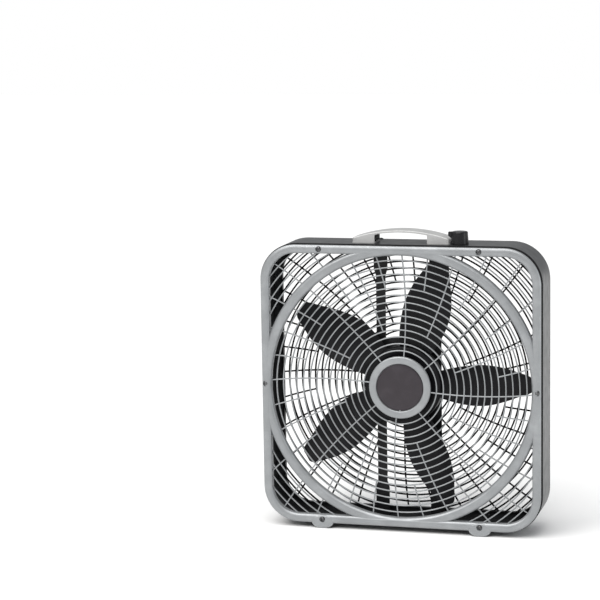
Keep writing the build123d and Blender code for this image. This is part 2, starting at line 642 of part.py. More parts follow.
with BuildPart() as carry_handle:
    with BuildSketch(Plane(origin=(HC, HANDLE_B, TOP), x_dir=(1, 0, 0), z_dir=(0, -1, 0))) as arch:
        with BuildLine():
            ThreePointArc((-HL, ARCH_END), (0, HANDLE_RISE), (HL, ARCH_END))
            Polyline((HL, ARCH_END), (HL, 0), (INNER, 0), (INNER, 16.2))
            ThreePointArc((INNER, 16.2), (0, HANDLE_RISE - ARCH_T), (-INNER, 16.2))
            Polyline((-INNER, 16.2), (-INNER, 0), (-HL, 0), (-HL, ARCH_END))
        make_face()
    extrude(amount=HANDLE_B - HANDLE_F)
    fillet(carry_handle.edges().filter_by(Axis.Z).filter_by(lambda e: abs(e.center().X - HC) > HL - 1), radius=5.0)
    crown = carry_handle.faces().filter_by(GeomType.CYLINDER).sort_by(Axis.Z)[-1]
    fillet(crown.edges(), radius=1.8)
    # hollow legs, open underneath, with a boss for each screw
    for x0, x1, (sx, sy) in ((HANDLE_L + 2.6, HANDLE_L + LEG - 2.6, HANDLE_SCREWS[0]),
                             (HANDLE_R - LEG + 2.6, HANDLE_R - 2.6, HANDLE_SCREWS[1])):
        with BuildSketch(Plane.XY.offset(TOP - 1)):
            with Locations(((x0 + x1) / 2, (HANDLE_F + HANDLE_B) / 2)):
                Rectangle(x1 - x0, HANDLE_B - HANDLE_F - 5.2)
            with Locations((sx, sy)):
                Circle(5.0, mode=Mode.SUBTRACT)
        extrude(amount=7.0, mode=Mode.SUBTRACT)
        with BuildSketch(Plane.XY.offset(TOP - 1)):
            with Locations((sx, sy)):
                Circle(1.9)
        extrude(amount=7.5, mode=Mode.SUBTRACT)
    # and open on the side that faces the fingers, under the arch
    for s, (sx, sy) in ((-1, HANDLE_SCREWS[0]), (1, HANDLE_SCREWS[1])):
        for x0, x1, top in ((INNER - 1.0, INNER + 12.0, 14.4), (INNER + 11.0, INNER + 24.0, 12.2)):
            with BuildSketch(Plane.XY.offset(TOP - 1)):
                with Locations((HC + s * (x0 + x1) / 2, (HANDLE_F + HANDLE_B) / 2)):
                    Rectangle(x1 - x0, HANDLE_B - HANDLE_F - 5.2)
                with Locations((sx, sy)):
                    Circle(5.0, mode=Mode.SUBTRACT)
            extrude(amount=top + 1, mode=Mode.SUBTRACT)
    # base lip
    with BuildSketch(Plane.XY.offset(TOP)):
        for s in (-1, 1):
            with Locations((HC + s * (HL - LEG / 2), (HANDLE_F + HANDLE_B) / 2)):
                RectangleRounded(LEG + 1.0, HANDLE_B - HANDLE_F + 1.6, 5.0)
                Rectangle(LEG - 5.2, HANDLE_B - HANDLE_F - 5.2, mode=Mode.SUBTRACT)
    extrude(amount=2.2)
finish(carry_handle.part, "carry_handle")

with BuildPart() as handle_screws:
    with BuildSketch(Plane.XY.offset(TOP - WALL)):
        with Locations(*HANDLE_SCREWS):
            Circle(1.85)
    extrude(amount=WALL + 6.0)
    with BuildSketch(Plane.XY.offset(TOP - WALL - 2.4)):
        with Locations(*HANDLE_SCREWS):
            Circle(4.4)
    extrude(amount=2.4)
finish(handle_screws.part, "handle_screws")

# ------------------------------------------------------------ switch and knob
with BuildPart() as switch_body:
    with BuildSketch(Plane.XY.offset(TOP - WALL - 14.0)):
        with Locations((KNOB_X, KNOB_Y)):
            RectangleRounded(26.0, 24.0, 2.5)
    extrude(amount=14.0)
    with BuildSketch(Plane.XY.offset(TOP - WALL)):
        with Locations((KNOB_X, KNOB_Y)):
            Circle(4.7)
    extrude(amount=5.2)
    with BuildSketch(Plane.XY.offset(TOP - 8.0)):
        with Locations((KNOB_X, KNOB_Y)):
            Circle(3.05)
    extrude(amount=20.0, mode=Mode.SUBTRACT)
    # terminals
    with BuildSketch(Plane.XY.offset(TOP - WALL - 19.0)):
        with Locations(*[(KNOB_X + dx, KNOB_Y + dy) for dx in (-7, 0, 7) for dy in (-6, 6)]):
            Rectangle(4.8, 0.8)
    extrude(amount=5.0)
finish(switch_body.part, "switch_body")

with BuildPart() as switch_nut:
    with BuildSketch(Plane.XY.offset(TOP)):
        with Locations((KNOB_X, KNOB_Y)):
            RegularPolygon(6.5, 6, major_radius=False)
            Circle(4.75, mode=Mode.SUBTRACT)
    extrude(amount=2.2)
finish(switch_nut.part, "switch_nut")

with BuildPart() as switch_shaft:
    with BuildSketch(Plane.XY.offset(TOP - 7.6)):
        with Locations((KNOB_X, KNOB_Y)):
            Circle(3.0)
    extrude(amount=25.6)
    with BuildSketch(Plane.XY.offset(TOP + 6.0)):
        with Locations((KNOB_X, KNOB_Y + 3.6)):
            Rectangle(8.0, 3.0)
    extrude(amount=14.0, mode=Mode.SUBTRACT)
finish(switch_shaft.part, "switch_shaft")

with BuildPart() as speed_knob:
    with BuildSketch(Plane(origin=(KNOB_X, KNOB_Y, 0), x_dir=(1, 0, 0), z_dir=(0, -1, 0))):
        with BuildLine():
            Polyline((0, TOP + 0.5), (KNOB_R, TOP + 0.5), (KNOB_R, TOP + 2.5), (KNOB_R - 1.2, TOP + KNOB_H - 2.6))
            ThreePointArc((KNOB_R - 1.2, TOP + KNOB_H - 2.6), (KNOB_R - 2.0, TOP + KNOB_H - 0.8), (KNOB_R - 4.0, TOP + KNOB_H))
            Polyline((KNOB_R - 4.0, TOP + KNOB_H), (0, TOP + KNOB_H), (0, TOP + 0.5))
        make_face()
    revolve(axis=Axis((KNOB_X, KNOB_Y, 0), (0, 0, 1)))
    with BuildSketch(Plane.XY.offset(TOP)):
        with Locations((KNOB_X, KNOB_Y)):
            Circle(9.0)
    extrude(amount=4.6, mode=Mode.SUBTRACT)
    with BuildSketch(Plane.XY.offset(TOP + 4.0)):
        with Locations((KNOB_X, KNOB_Y)):
            Circle(3.0)
    extrude(amount=2.0, mode=Mode.SUBTRACT)
    with BuildSketch(Plane.XY.offset(TOP + 6.0)):
        with Locations((KNOB_X, KNOB_Y)):
            Circle(3.0)
        with Locations((KNOB_X, KNOB_Y + 3.6)):
            Rectangle(8.0, 3.0, mode=Mode.SUBTRACT)
    extrude(amount=12.0, mode=Mode.SUBTRACT)
    # pointer lobe beside the top, underside sloping back to the skirt
    with BuildSketch(Plane(origin=(KNOB_X, KNOB_Y, TOP), x_dir=POINTER_DIR, z_dir=POINTER_SIDE)):
        with BuildLine():
            Polyline((KNOB_R - 7.0, 9.0), (KNOB_R - 0.9, 11.0), (POINTER_R, 16.4), (POINTER_R, KNOB_H - 2.0),
                     (POINTER_R - 1.4, KNOB_H - 0.6), (KNOB_R - 7.0, KNOB_H - 0.6), close=True)
        make_face()
    extrude(amount=3.2, both=True)
finish(speed_knob.part, "speed_knob")

# ------------------------------------------------------------ wiring
LEAD_R = 2.2
LEAD = [(35.6, 37.3, ZC + 22.6), (50.0, 37.3, ZC + 52.0), (STRAP_X, 37.3, ZC + 95.0),
        (STRAP_X, 37.3, ZC + 172.0), (73.0, 37.3, ZC + 208.0), (82.0, 27.0, ZC + 238.0), (96.4, -5.0, ZC + 255.0)]
with BuildPart() as motor_leads:
    with BuildLine() as lead_path:
        FilletPolyline(*LEAD, radius=18.0)
    with BuildSketch(Plane(origin=lead_path.line @ 0, z_dir=lead_path.line % 0)):
        Circle(LEAD_R)
    sweep()
finish(motor_leads.part, "motor_leads")

with BuildPart() as lead_clips:
    for z in (ZC + 110.0, ZC + 150.0):
        with BuildSketch(Plane.XY.offset(z - 3.0)):
            with Locations((STRAP_X, STRAP_B + 2.55)):
                Rectangle(STRAP_W + 3.2, 5.1)
            with Locations((STRAP_X, (STRAP_F + STRAP_B) / 2 + 0.2)):
                Rectangle(STRAP_W + 3.2, 4.4)
            with Locations((STRAP_X, 37.3)):
                Circle(LEAD_R, mode=Mode.SUBTRACT)
            with Locations((STRAP_X, (STRAP_F + STRAP_B) / 2)):
                Rectangle(STRAP_W, STRAP_B - STRAP_F, mode=Mode.SUBTRACT)
        extrude(amount=6.0)
finish(lead_clips.part, "lead_clips")

with BuildPart() as cord_grommet:
    with BuildSketch(AXIAL):
        with BuildLine():
            Polyline((3.6, -1.6), (8.2, -1.6), (9.0, -0.8), (9.0, 0), (6.5, 0), (6.5, WALL), (9.0, WALL),
                     (9.0, WALL + 1.6), (8.0, WALL + 2.6), (3.6, WALL + 2.6), close=True)
        make_face()
    revolve(axis=FAN_AXIS)
cord_grommet_in_place = Location((GROMMET_X, GROMMET_Y, FOOT_H), (90, 0, 0)) * (Location((0, 0, -ZC)) * cord_grommet.part)
finish(cord_grommet_in_place, "cord_grommet")
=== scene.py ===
import json
import math
from math import sin, cos, radians, hypot, sqrt, pi

import bpy
import bmesh
from mathutils import Matrix, Vector


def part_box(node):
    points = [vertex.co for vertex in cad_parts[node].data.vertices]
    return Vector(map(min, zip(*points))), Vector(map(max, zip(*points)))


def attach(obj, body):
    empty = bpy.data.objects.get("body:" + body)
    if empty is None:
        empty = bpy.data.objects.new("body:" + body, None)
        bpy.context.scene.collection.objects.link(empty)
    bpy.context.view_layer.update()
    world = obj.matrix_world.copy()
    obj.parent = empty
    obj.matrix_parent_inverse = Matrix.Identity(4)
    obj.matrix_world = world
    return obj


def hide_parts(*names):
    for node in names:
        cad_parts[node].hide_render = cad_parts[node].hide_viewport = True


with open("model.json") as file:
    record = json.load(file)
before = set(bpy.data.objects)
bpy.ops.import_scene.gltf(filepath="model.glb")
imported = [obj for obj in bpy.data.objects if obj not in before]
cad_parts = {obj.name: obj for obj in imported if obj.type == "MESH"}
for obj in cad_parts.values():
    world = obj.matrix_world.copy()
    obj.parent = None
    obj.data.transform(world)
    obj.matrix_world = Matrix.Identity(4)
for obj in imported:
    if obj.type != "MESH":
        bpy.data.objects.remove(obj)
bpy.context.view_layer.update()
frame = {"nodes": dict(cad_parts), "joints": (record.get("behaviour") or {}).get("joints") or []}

# ------------------------------------------------------------ frame facts, metres
NODES = frame["nodes"]
MM = 0.001
JOINTS = {j["name"]: j for j in frame["joints"]}
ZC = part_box("motor_shaft")[0].z / 2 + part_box("motor_shaft")[1].z / 2
ZC = round(ZC * 2000) / 2000
shell_lo, shell_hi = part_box("housing_shell")
HALF = (shell_hi.x - shell_lo.x) / 2
SHELL_F, SHELL_B = shell_lo.y, shell_hi.y
CORNER = HALF - 0.069                      # the corner arcs' centres, from the axis
BEZEL_OUT, BEZEL_IN = 0.262, 0.246
CREST = 0.0535
NET_CLIP = 0.2474
RIB_W, REAR_RIB_W, NET_FRONT, NET_BACK = 0.0024, 0.0032, 0.0445, 0.0415
RING_IN, RING_OUT, RING_CREST = 0.2445, 0.264, 0.0525
RINGS = [0.0685 + 0.01285 * k for k in range(14)]
CORNER_RINGS = [0.278, 0.291, 0.304, 0.317]
REAR_RINGS = [0.253, 0.266, 0.279, 0.292, 0.305, 0.318]
SWIRL = 33.5                               # degrees that a spoke turns for each metre of radius
SCREWS = [(-0.149, 0.2545), (0.149, 0.2545), (-0.149, -0.2545), (0.149, -0.2545), (-0.2545, 0.0), (0.2545, 0.0)]
FOOT_X = 0.149


# ------------------------------------------------------------ mesh helpers
class Build:
    """Vertices and faces of one piece; depth is measured towards the front and turned into y by side."""

    def __init__(self, side=-1):
        self.v, self.f, self.side = [], [], side

    def point(self, x, depth, z):
        self.v.append((x, self.side * depth, ZC + z))
        return len(self.v) - 1

    def grid(self, rows, wrap_rows, wrap_cols, cap=False):
        n, m = len(rows), len(rows[0])
        at = [[self.point(*p) for p in row] for row in rows]
        for i in range(n if wrap_rows else n - 1):
            a, b = at[i], at[(i + 1) % n]
            for j in range(m if wrap_cols else m - 1):
                k = (j + 1) % m
                self.f.append((a[j], a[k], b[k], b[j]))
        if cap and not wrap_rows:
            self.f.append(tuple(reversed(at[0])))
            self.f.append(tuple(at[-1]))

    def rib(self, line, section, closed):
        """line: (x, z, side x, side z) along the rib. section: (across, depth) round it."""
        rows = [[(x + nx * s, d, z + nz * s) for s, d in section] for x, z, nx, nz in line]
        self.grid(rows, closed, True, cap=not closed)

    def lathe(self, profile, steps, wrap_profile=True, keep=None):
        """profile: (radius, depth), turned about the fan axis."""
        rows = []
        for i in range(steps):
            a = 2 * pi * i / steps
            row = []
            for r, d in profile:
                x, z = r * cos(a), r * sin(a)
                if keep:
                    x, z = max(-keep, min(keep, x)), max(-keep, min(keep, z))
                row.append((x, d, z))
            rows.append(row)
        self.grid(rows, True, wrap_profile)

    def made(self, name, angle=38.0):
        me = bpy.data.meshes.new(name)
        me.from_pydata(self.v, [], self.f)
        me.validate()
        bm = bmesh.new()
        bm.from_mesh(me)
        bmesh.ops.remove_doubles(bm, verts=bm.verts, dist=1e-7)
        bmesh.ops.recalc_face_normals(bm, faces=bm.faces)
        bm.to_mesh(me)
        bm.free()
        return placed(name, me, angle)


def placed(name, me, angle=38.0):
    ob = bpy.data.objects.new(name, me)
    bpy.context.scene.collection.objects.link(ob)
    shade(me, angle)
    return ob


def shade(me, angle):
    me.shade_smooth()
    me.set_sharp_from_angle(angle=radians(angle))


def corner_fillet(c, r, a0, a1, n):
    """Points of an arc about c = (u, v), from angle a0 to a1 in degrees."""
    return [(c[0] + r * cos(radians(a0 + (a1 - a0) * i / n)), c[1] + r * sin(radians(a0 + (a1 - a0) * i / n)))
            for i in range(n + 1)]


def rounded_path(steps=20, straight=10):
    """Directions round a rounded square, as (corner centre x, z, unit x, unit z), the same for every offset."""
    out = []
    for q in range(4):
        a0 = 90.0 * q
        cx = CORNER if q in (0, 3) else -CORNER
        cz = CORNER if q in (0, 1) else -CORNER
        for i in range(steps + 1):
            a = radians(a0 + 90.0 * i / steps)
            out.append((cx, cz, cos(a), sin(a)))
        nx, nz = (-CORNER, CORNER) if q == 0 else (-CORNER, -CORNER) if q == 1 else (CORNER, -CORNER) if q == 2 else (CORNER, CORNER)
        a = radians(a0 + 90.0)
        for i in range(1, straight):
            t = i / straight
            out.append((cx + (nx - cx) * t, cz + (nz - cz) * t, cos(a), sin(a)))
    return out


PATH = rounded_path()


def frame_sweep(b, profile):
    """Sweeps a closed profile of (half size, depth) round the rounded square."""
    rows = []
    for cx, cz, ux, uz in PATH:
        rows.append([(cx + ux * (h - CORNER), d, cz + uz * (h - CORNER)) for h, d in profile])
    b.grid(rows, True, True)


def inside(x, z, h):
    x, z = abs(x), abs(z)
    if x > CORNER and z > CORNER:
        return hypot(x - CORNER, z - CORNER) <= h - CORNER
    return max(x, z) <= h


def rib_section(width, front, back):
    w = width / 2
    f = w * 0.86
    k = w * 0.4
    pts = corner_fillet((w - f, front - f), f, 90, 0, 4)
    pts += corner_fillet((w - k, back + k), k, 0, -90, 2)
    pts += corner_fillet((-w + k, back + k), k, -90, -180, 2)
    pts += corner_fillet((-w + f, front - f), f, 180, 90, 4)
    return pts


def net(b, corner_rings, width, cut=None):
    """Rings and spokes of a grille. cut: (r0, r1), where the ribs stop for a hollow ring."""
    sec = rib_section(width, NET_FRONT, NET_BACK)
    low = rib_section(width * 0.96, NET_FRONT - 0.00008, NET_BACK + 0.00005)
    for r in RINGS:
        n = max(72, int(2 * pi * r / 0.0085))
        line = [(r * cos(2 * pi * i / n), r * sin(2 * pi * i / n), cos(2 * pi * i / n), sin(2 * pi * i / n)) for i in range(n)]
        b.rib(line, sec, True)
    for r in corner_rings:
        for q in range(4):
            # the part of the arc that lies inside the bezel
            lo, hi = 0.0, 45.0
            for _ in range(40):
                mid = (lo + hi) / 2
                if inside(r * cos(radians(mid)), r * sin(radians(mid)), NET_CLIP):
                    hi = mid
                else:
                    lo = mid
            a0, a1 = hi, 90.0 - hi
            n = max(8, int(radians(a1 - a0) * r / 0.0085))
            line = []
            for i in range(n + 1):
                a = radians(90.0 * q + a0 + (a1 - a0) * i / n)
                line.append((r * cos(a), r * sin(a), cos(a), sin(a)))
            b.rib(line, sec, False)
    spokes = [(0.050, 80.5 + 45 * k) for k in range(8)] + [(RINGS[3], 103.0 + 45 * k) for k in range(8)]
    spokes += [(RINGS[9], 91.75 + 22.5 * k) for k in range(16)]
    for r0, start in spokes:
        lo, hi = 0.240, 0.348
        for _ in range(40):
            mid = (lo + hi) / 2
            a = radians(start + SWIRL * mid)
            if inside(mid * cos(a), mid * sin(a), NET_CLIP):
                lo = mid
            else:
                hi = mid
        spans = [(r0, lo)]
        if cut:
            spans = [(r0, min(cut[0], lo))] + ([(cut[1], lo)] if lo > cut[1] + 0.002 else [])
        for s0, s1 in spans:
            n = max(3, int((s1 - s0) / 0.0085))
            line = []
            for i in range(n + 1):
                r = s0 + (s1 - s0) * i / n
                a, da = radians(start + SWIRL * r), radians(SWIRL)
                tx, tz = cos(a) - r * sin(a) * da, sin(a) + r * cos(a) * da
                ln = hypot(tx, tz)
                line.append((r * cos(a), r * sin(a), -tz / ln, tx / ln))
            b.rib(line, low, False)


def bezel_profile():
    base = -SHELL_F
    mid, half, rise = (BEZEL_OUT + BEZEL_IN) / 2, (BEZEL_OUT - BEZEL_IN) / 2, 0.0046
    pts = [(BEZEL_OUT, base)]
    pts += [(mid + half * cos(radians(7.5 * i)), CREST - rise + rise * sin(radians(7.5 * i)) ** 0.9) for i in range(25)]
    pts += [(BEZEL_IN, base - 0.0004), (BEZEL_IN, 0.0404), (BEZEL_IN + 0.0004, 0.0400), (0.2480, 0.0400),
            (0.2484, 0.0404), (0.2484, base)]
    return pts


def foot_pads(b):
    """The pads that reach back under the shell."""
    for sx in (-FOOT_X, FOOT_X):
        w, r = 0.009, 0.0012
        pad = [(-w, r), (-w + r, 0.0), (w - r, 0.0), (w, r), (w, 0.0079), (-w, 0.0079)]
        rows = [[(sx + x, d, z - ZC) for x, z in pad] for d in (0.0372, 0.0500)]
        b.grid(rows, False, True, cap=True)


def foot_lobes(name, side):
    """The rounded lobes under the bezel, each with a way through to its screw seat."""
    b = Build(side)
    for sx in (-FOOT_X, FOOT_X):
        outline = []
        n = 56
        for i in range(n):
            a = 2 * pi * i / n
            outline.append((0.021 * cos(a), max(0.0, 0.012 + 0.0127 * sin(a))))
        rows = []
        levels = [(0.0480, 0.0)] + [(0.054 - 0.0026 + 0.0026 * sin(radians(t)), 0.0026 * (1 - cos(radians(t)))) for t in (0, 18, 36, 54, 72, 90)]
        for d, inset in levels:
            kx, kz = 1 - inset / 0.021, 1 - inset / 0.0123
            rows.append([(sx + x * kx, d, 0.0123 + (z - 0.0123) * kz - ZC) for x, z in outline])
        b.grid(rows, False, True, cap=True)
    ob = b.made(name, 40)
    cut_away(ob, [plug("lobe_cut", [q for q in SCREWS if q[1] < -0.1], 0.0057, 0.0470, 0.0560, side)], 40)
    return ob


def cut_away(ob, cutters, angle=38.0):
    """Takes the cutters out of ob's mesh, with the result applied."""
    for c in cutters:
        mod = ob.modifiers.new("cut", "BOOLEAN")
        mod.operation = "DIFFERENCE"
        mod.solver = "EXACT"
        mod.object = c
    bpy.context.view_layer.update()
    dg = bpy.context.evaluated_depsgraph_get()
    me = bpy.data.meshes.new_from_object(ob.evaluated_get(dg))
    old = ob.data
    ob.modifiers.clear()
    ob.data = me
    bpy.data.meshes.remove(old)
    for c in cutters:
        data = c.data
        bpy.data.objects.remove(c)
        bpy.data.meshes.remove(data)
    shade(me, angle)


def plug(name, spots, r, d0, d1, side, lip=0.0):
    """Round cutters along the fan axis at spots (x, z), from depth d0 to d1."""
    b = Build(side)
    n = 28
    for x, z in spots:
        prof = [(r, d0), (r, d1)] if not lip else [(r, d0), (r, d1 - 0.003), (r + lip, d1)]
        rows = []
        for rr, d in prof:
            rows.append([(x + rr * cos(2 * pi * i / n), d, z + rr * sin(2 * pi * i / n)) for i in range(n)])
        b.grid(rows, False, True, cap=True)
    return b.made(name)


def moat(name, spots, r0, r1, d0, d1, side):
    """Ring-shaped cutters round the spots (x, z), for the groove round a screw's seat."""
    b = Build(side)
    n = 28
    for x, z in spots:
        rows = []
        for rr, d in ((r0, d0), (r1, d0), (r1, d1), (r0, d1)):
            rows.append([(x + rr * cos(2 * pi * i / n), d, z + rr * sin(2 * pi * i / n)) for i in range(n)])
        b.grid(rows, True, True)
    return b.made(name)


def join(name, objs, angle=38.0):
    """One object of several meshes."""
    bm = bmesh.new()
    for o in objs:
        bm.from_mesh(o.data)
    me = bpy.data.meshes.new(name)
    bm.to_mesh(me)
    bm.free()
    for o in objs:
        data = o.data
        bpy.data.objects.remove(o)
        bpy.data.meshes.remove(data)
    return placed(name, me, angle)


# ------------------------------------------------------------ grilles
def ring_profile():
    r = 0.007
    pts = [(RING_IN, NET_BACK)]
    pts += corner_fillet((RING_IN + r, RING_CREST - r), r, 180, 90, 9)
    pts += [((RING_IN + RING_OUT) / 2, RING_CREST + 0.0)]
    pts += corner_fillet((RING_OUT - r, RING_CREST - r), r, 90, 0, 9)
    pts += [(RING_OUT, NET_BACK), (RING_OUT - 0.0034, NET_BACK), (RING_OUT - 0.0034, RING_CREST - 0.004),
            (RING_IN + 0.0034, RING_CREST - 0.004), (RING_IN + 0.0034, NET_BACK)]
    return pts


def hub_profile():
    pts = [(0.0, NET_BACK), (0.0572, NET_BACK), (0.058, NET_BACK + 0.0008), (0.058, NET_FRONT + 0.0004)]
    pts += [(0.0579, 0.0460), (0.0576, 0.0469), (0.0570, 0.0476), (0.0561, 0.0481), (0.0550, 0.04835), (0.0535, 0.0484),
            (0.0475, 0.0483), (0.0462, 0.0482), (0.0453, 0.0479), (0.0447, 0.0473), (0.0443, 0.0464), (0.0441, 0.0452),
            (0.0440, 0.0441), (0.0, 0.0441)]
    return pts


front = Build(-1)
net(front, CORNER_RINGS, RIB_W, cut=(0.2465, 0.262))
front.lathe(ring_profile(), 220, keep=0.2555)
front.lathe(hub_profile(), 128)
# locating pin of the badge, at the bottom of the medallion's rim
pin = [(0.0015, 0.0441), (0.0015, 0.0466), (0.0013, 0.0470), (0.0008, 0.0472)]
front.grid([[(r * cos(2 * pi * i / 16), d, -0.0434 + r * sin(2 * pi * i / 16)) for i in range(16)] for r, d in pin], False, True, cap=True)
foot_pads(front)
front_net = front.made("front_net", 40)

bezel = Build(-1)
frame_sweep(bezel, bezel_profile())
front_bezel = bezel.made("front_bezel_form", 40)
cut_away(front_bezel, [plug("seat_cut", SCREWS, 0.0056, 0.0508, 0.0555, -1), moat("moat_cut", SCREWS, 0.0040, 0.0056, 0.0486, 0.0520, -1)], 40)
front_grille = join("front_grille_detail", [front_net, front_bezel, foot_lobes("front_lobes", -1)], 40)
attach(front_grille, "housing")
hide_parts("front_grille")

rear = Build(1)
net(rear, REAR_RINGS, REAR_RIB_W)
rear.lathe([(0.0, NET_BACK), (0.0515, NET_BACK), (0.052, NET_BACK + 0.0005), (0.052, NET_FRONT), (0.0517, 0.0452), (0.0510, 0.0458),
            (0.0500, 0.0461), (0.0180, 0.0461), (0.0172, 0.0459), (0.0165, 0.0454), (0.0, 0.0454)], 96)
foot_pads(rear)
rear_net = rear.made("rear_net", 40)
bezel = Build(1)
frame_sweep(bezel, bezel_profile())
rear_bezel = bezel.made("rear_bezel_form", 40)
cut_away(rear_bezel, [plug("seat_cut", SCREWS, 0.0056, 0.0508, 0.0555, 1), moat("moat_cut", SCREWS, 0.0040, 0.0056, 0.0486, 0.0520, 1)], 40)
rear_grille = join("rear_grille_detail", [rear_net, rear_bezel, foot_lobes("rear_lobes", 1)], 40)
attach(rear_grille, "housing")
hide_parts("rear_grille")

# ------------------------------------------------------------ badge: plain domed disc with a turned line near its edge
badge = Build(-1)
profile = [(0.0, 0.0441), (0.0432, 0.0441), (0.0436, 0.0445), (0.0436, 0.0455), (0.0434, 0.0458), (0.0430, 0.0460)]
for i in range(1, 13):
    r = 0.0430 * (1 - i / 12)
    dome = 0.0460 + 0.0013 * (1 - (r / 0.0430) ** 2)
    profile.append((r, dome))
badge.lathe(profile, 128)
hub_badge = badge.made("hub_badge_detail", 50)
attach(hub_badge, "housing")
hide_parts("hub_badge")


# ------------------------------------------------------------ fan blade
SECTIONS = [
    (56.0, 26.0, 23.0, 13.0, 4.0), (90.0, 37.5, 33.0, 17.0, 6.0),
    (124.0, 43.0, 38.8, 18.0, 6.5), (156.0, 41.5, 40.2, 16.5, 6.0), (190.0, 31.8, 34.6, 12.5, 4.5),
    (214.0, 22.4, 26.4, 9.0, 3.0), (229.0, 17.4, 21.2, 6.8, 2.0), (236.5, 13.6, 17.2, 5.4, 1.3),
    (240.0, 9.0, 12.4, 4.0, 0.9),
]


def blended(t):
    """Section at t in 0..len-1, by a Catmull-Rom curve through the table."""
    n = len(SECTIONS)
    i = min(int(t), n - 2)
    u = t - i
    p = [SECTIONS[max(0, min(n - 1, i + k))] for k in (-1, 0, 1, 2)]
    out = []
    for a, b, c, d in zip(*p):
        out.append(0.5 * (2 * b + (c - a) * u + (2 * a - 5 * b + 4 * c - d) * u * u + (3 * b - a - 3 * c + d) * u ** 3))
    return out


def arc_through(p0, p1, p2, n):
    """n + 1 points of the arc through three points of a plane."""
    ax, ay, bx, by, cx, cy = *p0, *p1, *p2
    d = 2 * (ax * (by - cy) + bx * (cy - ay) + cx * (ay - by))
    ux = ((ax * ax + ay * ay) * (by - cy) + (bx * bx + by * by) * (cy - ay) + (cx * cx + cy * cy) * (ay - by)) / d
    uy = ((ax * ax + ay * ay) * (cx - bx) + (bx * bx + by * by) * (ax - cx) + (cx * cx + cy * cy) * (bx - ax)) / d
    r = hypot(ax - ux, ay - uy)
    a0 = math.atan2(ay - uy, ax - ux)
    a1 = math.atan2(cy - uy, cx - ux)
    while a1 - a0 > pi:
        a1 -= 2 * pi
    while a1 - a0 < -pi:
        a1 += 2 * pi
    return [(ux + r * cos(a0 + (a1 - a0) * i / n), uy + r * sin(a0 + (a1 - a0) * i / n)) for i in range(n + 1)]


BLADE_DEPTH = 5.0                          # the blades' middle plane, towards the front
THICK = 2.4


def blade_rows():
    rows = []
    steps = [k * 0.25 for k in range(4 * (len(SECTIONS) - 1) + 1)]
    for t in steps:
        rho, back, ahead, rise, camber = blended(t)
        slope = 2 * rise / (back + ahead)
        ht = THICK / 2 * sqrt(1 + slope * slope)
        mid = (ahead - back) / 2
        line = arc_through((-back, -rise), (mid, -camber), (ahead, rise), 22)
        # round the long edges: the thickness falls away over the last 1.2 mm
        upper, lower = [], []
        for k, (u, w) in enumerate(line):
            edge = min(u + back, ahead - u)
            e = min(1.0, max(0.0, edge) / 1.3)
            h = ht * (0.35 + 0.65 * sqrt(max(0.0, 1 - (1 - e) ** 2)))
            upper.append((rho, u, w + h))
            lower.append((rho, u, w - h))
        rows.append(upper + lower[::-1])
    return rows


blade = Build(-1)
rows = blade_rows()
for k in range(5):
    a = radians(1.0 + 72.0 * k)
    turned = []
    for row in rows:
        # rho runs along the blade, u across it (anticlockwise from the front), w towards the front; the root ends in the hub's rim
        line = []
        for rho, u, w in row:
            grow = max(1.0, 71.4 / hypot(rho, u))
            line.append(((rho * cos(a) - u * sin(a)) * grow * MM, (BLADE_DEPTH + w) * MM, (rho * sin(a) + u * cos(a)) * grow * MM))
        turned.append(line)
    blade.grid(turned, False, True, cap=True)
drum = [(0.0040, 0.0240), (0.0040, -0.0030), (0.0116, -0.0030), (0.0120, -0.0026), (0.0120, 0.0204), (0.0698, 0.0204), (0.0698, -0.0050),
        (0.0726, -0.0050), (0.0730, -0.0046), (0.0730, 0.0190)]
drum += corner_fillet((0.0680, 0.0190), 0.005, 9, 90, 9)
drum += [(0.0560, 0.0240), (0.0552, 0.0236), (0.0544, 0.0232), (0.0180, 0.0232), (0.0172, 0.0236), (0.0164, 0.0240)]
blade.lathe(drum, 128)
for k in range(10):
    a = radians(36.0 * k)
    rows = []
    for r in (0.0115, 0.0702):
        rows.append([(r * cos(a) - s * sin(a), d, r * sin(a) + s * cos(a)) for s, d in
                     ((-0.0012, 0.0208), (-0.0010, -0.0045), (-0.0006, -0.0049), (0.0006, -0.0049), (0.0010, -0.0045), (0.0012, 0.0208))])
    blade.grid(rows, False, True, cap=True)
fan_blade = blade.made("fan_blade_detail", 42)
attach(fan_blade, "rotor")
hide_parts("fan_blade")


